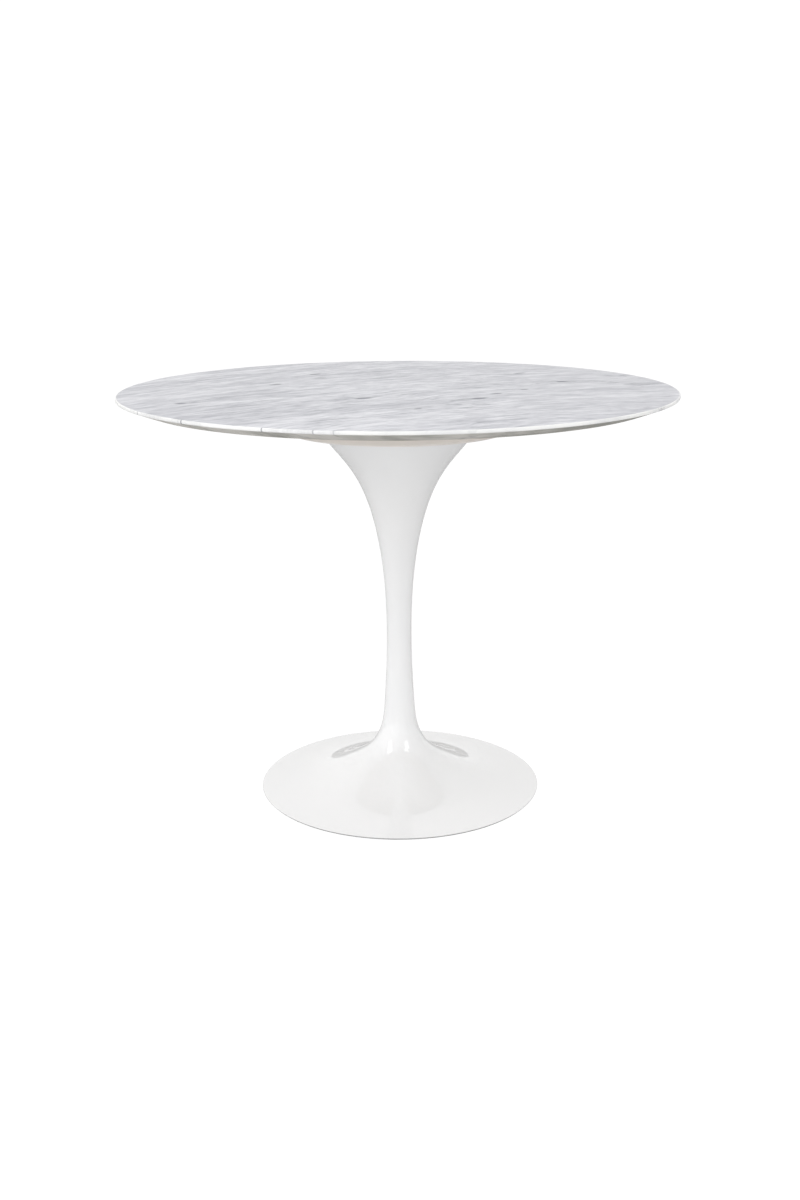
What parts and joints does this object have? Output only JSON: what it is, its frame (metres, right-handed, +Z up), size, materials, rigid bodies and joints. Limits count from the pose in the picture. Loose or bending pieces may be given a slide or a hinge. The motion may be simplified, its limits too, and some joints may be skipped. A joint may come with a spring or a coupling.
{
  "type": "round pedestal table",
  "caption": "Round dining table: a thin-edged marble top on a slim trumpet-shaped pedestal that flares into a wide dished base.",
  "frame": {"origin": "on the floor, under the centre of the round base", "axes": "+Z up along the stem's axis; the table is round, so X and Y are any two directions across the top"},
  "size_m": [1, 1, 0.75],
  "materials": {
    "stone": "polished light grey-white veined marble",
    "white_lacquer": "smooth gloss white lacquer",
    "board_lacquer": "white lacquered fibreboard",
    "adhesive": "cured translucent grey bonding silicone",
    "brass": "turned, plain",
    "steel": "bright zinc plated",
    "cast_iron": "rough casting with black primer",
    "cover_plastic": "fine-grained black sheet",
    "rubber": "matt black rubber"
  },
  "bodies": {
    "root": {"marble_top": "stone", "bonding_beads": "adhesive", "backing_board": "board_lacquer", "board_inserts": "brass", "top_flange": "white_lacquer", "flange_bolts": "steel", "flange_washers": "steel", "mouth_gasket": "rubber", "pedestal": "white_lacquer", "tie_rod": "steel", "rod_top_washer": "steel", "rod_top_nut": "steel", "clamp_plate": "steel", "rod_lower_washer": "steel", "spring_washer": "steel", "clamp_nut": "steel", "jam_nut": "steel", "ballast_ring": "cast_iron", "ballast_bolts": "steel", "ballast_washers": "steel", "base_cover": "cover_plastic", "cover_screws": "steel", "foot_ring": "rubber"}
  },
  "joints": []
}
